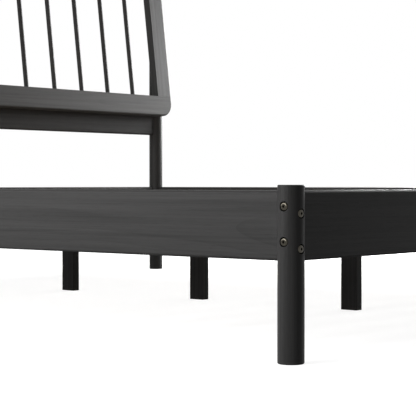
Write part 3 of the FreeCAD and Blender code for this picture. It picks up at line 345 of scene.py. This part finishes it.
def dress_wood():
    for node in ("foot_post_left", "foot_post_right", "head_leg_left", "head_leg_right"):
        # 0.85: painted shade, the posts and legs darkened to the dimmer light they get
        stained(node, ALONG_Z, shade=0.85)
    for node in ("support_leg_foot", "support_leg_middle", "support_leg_head"):
        # 0.85: painted shade on the support legs under the bed
        stained(node, ALONG_Z, specular=0.042, shade=0.85)
    for node in ("side_rail_left", "side_rail_right", "slat_ledger_left", "slat_ledger_right",
                 "centre_beam"):
        stained(node, ALONG_Y)
    for node in ("foot_rail", "head_rail"):
        # 0.85: painted shade on rails whose faces turn away from the lamps
        stained(node, ALONG_X, specular=0.048, shade=0.85)
    # 0.8: painted shadow under the overhang of the headboard's bottom rail
    stained("headboard_cross_rail", ALONG_X, specular=0.045, shade=0.8)
    for node in ("headboard_bottom_rail", "headboard_top_rail"):
        stained(node, ALONG_X)
    for node in ("headboard_stile_left", "headboard_stile_right"):
        # 1.2: painted light on the stiles' fronts, which lean back towards the lamps
        stained(node, UP_THE_SLOPE, specular=0.075, shade=1.2)
    for node in sorted(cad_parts):
        if node.startswith("spindle_"):
            stained(node, UP_THE_SLOPE)
        elif node.startswith("slat_") and node[-2:].isdigit():
            plain_slat(node)
    dress_board("dowel_wood", "frame_dowels", UP_THE_SLOPE, DOWEL_DARK, DOWEL_LIGHT, ring_width=0.004,
                roughness=(0.5, 0.65), depth=0.00002, specular=0.4)


# ---------------------------------------------------------------- metal


def metal(name, bright, dull, *, roughness, grain_size):
    """Plated metal: a fine uneven polish, and dull patches of another tone."""
    material, tree, shader = new_material(name)
    place = object_place(tree)
    fine = noise(tree, place, 1.0 / grain_size, detail=3.0, roughness=0.6)
    patch = noise(tree, place, METAL_PATCHES / grain_size)
    tree.links.new(mixed(tree, patch, opaque(bright), opaque(dull)), shader.inputs["Base Color"])
    half_fine = arithmetic(tree, "MULTIPLY", fine, 0.5)
    average = arithmetic(tree, "MULTIPLY_ADD", patch, 0.5, half_fine)
    tree.links.new(rescale(tree, average, (0.3, 0.7), roughness), shader.inputs["Roughness"])
    tree.links.new(add_bump(tree, fine, METAL_RELIEF), shader.inputs["Normal"])
    shader.inputs["Metallic"].default_value = 1.0
    return material


def powder_coat(name, colour, *, roughness):
    """Powder coat with fine dimples; its crests are painted paler and its dimples darker, as painted
    light and shade on the relief.
    """
    material, tree, shader = new_material(name)
    # crests paler as a painted highlight, dimples darker as painted shade
    paler = brightened(colour, COAT_CREST_HIGHLIGHT)
    peel = noise(tree, object_place(tree), COAT_DIMPLES)
    crest = rescale(tree, peel, (0.35, 0.65), (0.0, 1.0))
    tree.links.new(mixed(tree, crest, opaque(colour), opaque(paler)), shader.inputs["Base Color"])
    tree.links.new(rescale(tree, peel, (0.3, 0.7), roughness), shader.inputs["Roughness"])
    tree.links.new(add_bump(tree, peel, COAT_RELIEF), shader.inputs["Normal"])
    return material


def dress_metal():
    nickel = metal("bolt_metal", BOLT_BRIGHT, BOLT_DULL, roughness=(0.08, 0.16), grain_size=0.0006)
    zinc = metal("zinc_steel", ZINC_BRIGHT, ZINC_DULL, roughness=(0.25, 0.4), grain_size=0.0009)
    coat = powder_coat("bracket_steel", COAT_DARK, roughness=(0.42, 0.55))
    for node in ("rail_bolts", "headboard_bolts"):
        dress(node, nickel)
    for node in ("barrel_nuts", "headboard_inserts", "slat_screws", "ledger_screws", "hanger_screws",
                 "leg_studs"):
        dress(node, zinc)
    for node in ("beam_hanger_foot", "beam_hanger_head"):
        dress(node, coat)


# ---------------------------------------------------------------- studio


def seen_directly(tree):
    """1 for rays of the camera, of mirror-like reflection and of transmission, otherwise 0."""
    path = add_node(tree, "ShaderNodeLightPath")
    glossy = arithmetic(tree, "MAXIMUM", path.outputs["Is Camera Ray"], path.outputs["Is Glossy Ray"])
    return arithmetic(tree, "MAXIMUM", glossy, path.outputs["Is Transmission Ray"])


def floor_material():
    """White where it is seen, with the object's shadow kept faintly near the object."""
    material, tree, _ = new_material("floor")
    tree.nodes.clear()
    unseen = add_node(tree, "ShaderNodeBsdfDiffuse", {"Color": grey(FLOOR_BOUNCE)})
    shaded = add_node(tree, "ShaderNodeBsdfDiffuse", {"Color": grey(FLOOR_SHADED)})
    away = add_node(tree, "ShaderNodeVectorMath", {0: object_place(tree)}, operation="LENGTH")
    strength = rescale(tree, away.outputs["Value"], FLOOR_GLOW_SPAN, FLOOR_GLOW)
    glow = add_node(tree, "ShaderNodeEmission", {"Color": grey(1), "Strength": strength})
    seen = add_node(tree, "ShaderNodeAddShader", {0: shaded.outputs[0], 1: glow.outputs[0]})
    both = add_node(tree, "ShaderNodeMixShader", {
        0: seen_directly(tree), 1: unseen.outputs[0], 2: seen.outputs[0]})
    add_node(tree, "ShaderNodeOutputMaterial", {"Surface": both.outputs[0]})
    return material


def make_floor():
    reach = FLOOR_REACH
    corners = [(-reach, -reach, 0), (reach, -reach, 0), (reach, reach, 0), (-reach, reach, 0)]
    mesh = bpy.data.meshes.new("floor")
    mesh.from_pydata(corners, [], [(0, 1, 2, 3)])
    mesh.materials.append(floor_material())
    floor = bpy.data.objects.new("floor", mesh)
    bpy.context.scene.collection.objects.link(floor)


def make_world():
    """White surroundings to the eye and in reflections, which light the object only a little."""
    world = bpy.data.worlds.new("studio")
    bpy.context.scene.world = world
    world.use_nodes = True
    tree = world.node_tree
    tree.nodes.clear()
    strength = rescale(tree, seen_directly(tree), (0.0, 1.0), (ROOM_LIGHT, 1.0))
    background = add_node(tree, "ShaderNodeBackground", {"Color": grey(1), "Strength": strength})
    add_node(tree, "ShaderNodeOutputWorld", {"Surface": background.outputs[0]})


def heading(turn, rise):
    """Direction turned from +Y towards +X and raised from the level."""
    level = Vector((math.sin(turn), math.cos(turn), 0))
    return level * math.cos(rise) + Vector((0, 0, math.sin(rise)))


def place_facing(name, data, place, direction):
    """Puts a lamp or camera at a place, upright and looking along a direction."""
    holder = bpy.data.objects.new(name, data)
    bpy.context.scene.collection.objects.link(holder)
    holder.location = place
    holder.rotation_mode = "QUATERNION"
    holder.rotation_quaternion = direction.to_track_quat("-Z", "Y")
    return holder


def softbox(name, place, aim, *, width, height, watts):
    light = bpy.data.lights.new(name, "AREA")
    light.shape = "RECTANGLE"
    light.size = width
    light.size_y = height
    light.energy = watts
    place = Vector(place)
    lamp = place_facing(name, light, place, aim - place)
    lamp.visible_camera = False


def far_softbox(name, *, turn, rise, width, height, watts):
    """Softbox far off, at a turn and a rise in degrees."""
    place = BED_AIM + heading(math.radians(turn), math.radians(rise)) * SOFTBOX_AWAY
    softbox(name, place, BED_AIM, width=width, height=height, watts=watts)


def make_lights():
    far_softbox("left_softbox", turn=282, rise=18, width=2.6, height=1.8, watts=105)
    far_softbox("left_high_softbox", turn=258, rise=38, width=0.3, height=0.3, watts=9)
    far_softbox("right_softbox", turn=93, rise=18, width=1.8, height=1.2, watts=85)
    far_softbox("right_high_softbox", turn=118, rise=30, width=0.8, height=0.6, watts=30)
    softbox("left_strip", (-2.4, 0.2, 0.6), SIDE_RAIL_AIM, width=2.6, height=0.5, watts=31)
    softbox("leg_softbox", (2.8, 0.9, 1.0), HEAD_LEG_AIM, width=0.8, height=0.8, watts=80)
    softbox("headboard_softbox", (3.2, -0.6, 1.5), HEADBOARD_AIM, width=1.0, height=1.0, watts=38)
    softbox("stile_softbox", (2.6, -0.2, 1.1), HEADBOARD_AIM, width=0.8, height=0.8, watts=11)
    softbox("top_softbox", (0.0, 0.0, 4.3), FLOOR_AIM, width=2.5, height=2.5, watts=50)


def make_camera():
    camera = bpy.data.cameras.new("camera")
    camera.lens = CAMERA_LENS
    camera.clip_end = CAMERA_REACH
    direction = heading(CAMERA_TURN, -CAMERA_DIP)
    bpy.context.scene.camera = place_facing("camera", camera, CAMERA_PLACE, direction)


# ---------------------------------------------------------------- the scene

make_camera()
make_floor()
make_world()
make_lights()
dress_wood()
dress_metal()
bpy.context.scene.view_settings.view_transform = "Standard"
